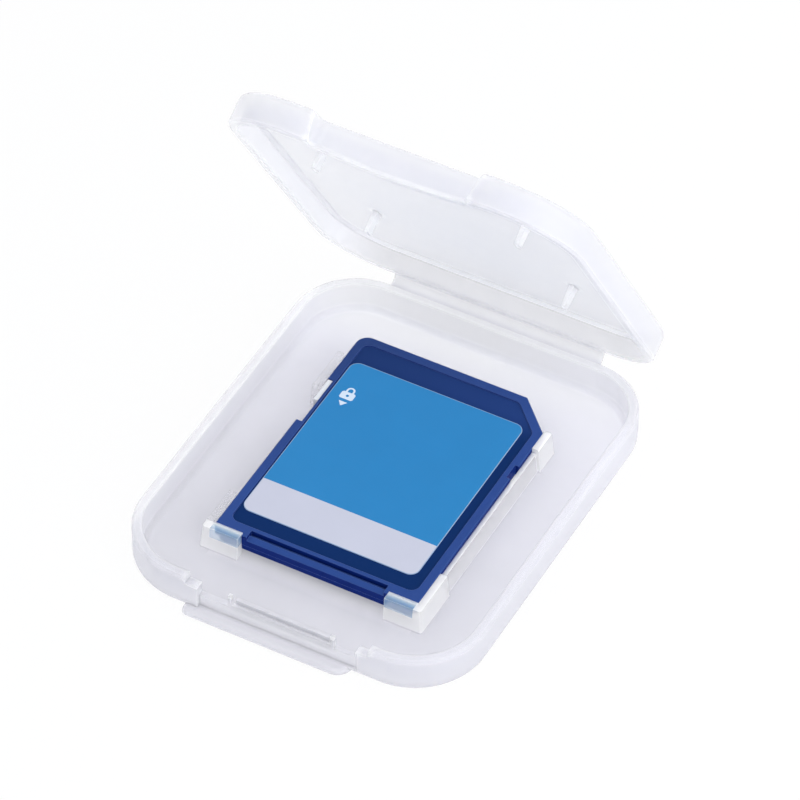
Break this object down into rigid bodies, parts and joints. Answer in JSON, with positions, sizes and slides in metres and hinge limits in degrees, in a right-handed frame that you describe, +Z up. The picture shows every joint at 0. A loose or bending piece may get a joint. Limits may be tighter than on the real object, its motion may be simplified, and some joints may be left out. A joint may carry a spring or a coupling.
{
  "type": "memory card case",
  "caption": "Pocket case for one flash memory card: a frosted tray with corner clips and a latch, a lid on a living hinge, and the card with its lock slider seated in it.",
  "frame": {"origin": "middle of the tray's flat underside, on the surface that the case lies on", "axes": "+Z up, +Y from the latch to the hinge, +X to the right when the latch faces the viewer"},
  "size_m": [0.0406, 0.0526, 0.0484],
  "materials": {
    "frosted_case": "translucent, satin",
    "card_shell": "fine matt texture",
    "card_label": "printed film, satin",
    "lock_slider": "satin",
    "circuit_board": "solder mask",
    "chip_package": "moulded epoxy",
    "capacitor_body": "fired ceramic",
    "resistor_body": "fired ceramic",
    "gold_contact": "gold plated"
  },
  "bodies": {
    "base": {"base_tray": "frosted_case", "living_hinge": "frosted_case", "card_top_shell": "card_shell", "card_bottom_shell": "card_shell", "card_label": "card_label", "circuit_board": "circuit_board", "flash_chip": "chip_package", "controller_chip": "chip_package", "capacitors": "capacitor_body", "resistors": "resistor_body", "contact_pad_1": "gold_contact", "contact_pad_2": "gold_contact", "contact_pad_3": "gold_contact", "contact_pad_4": "gold_contact", "contact_pad_5": "gold_contact", "contact_pad_6": "gold_contact", "contact_pad_7": "gold_contact", "contact_pad_8": "gold_contact", "contact_pad_9": "gold_contact"},
    "lid": {"lid_shell": "frosted_case"},
    "slider": {"write_protect_slider": "lock_slider"}
  },
  "joints": [
    {"name": "lid_hinge", "type": "hinge", "parent": "base", "child": "lid", "pos_m": [0, 0.02525, 0.0045], "axis": [-1, 0, 0], "range_deg": [-59, 121], "deforming": ["living_hinge"]},
    {"name": "write_protect_slide", "type": "slide", "parent": "base", "child": "slider", "axis": [0, -1, 0], "range_m": [0, 0.0034]}
  ]
}
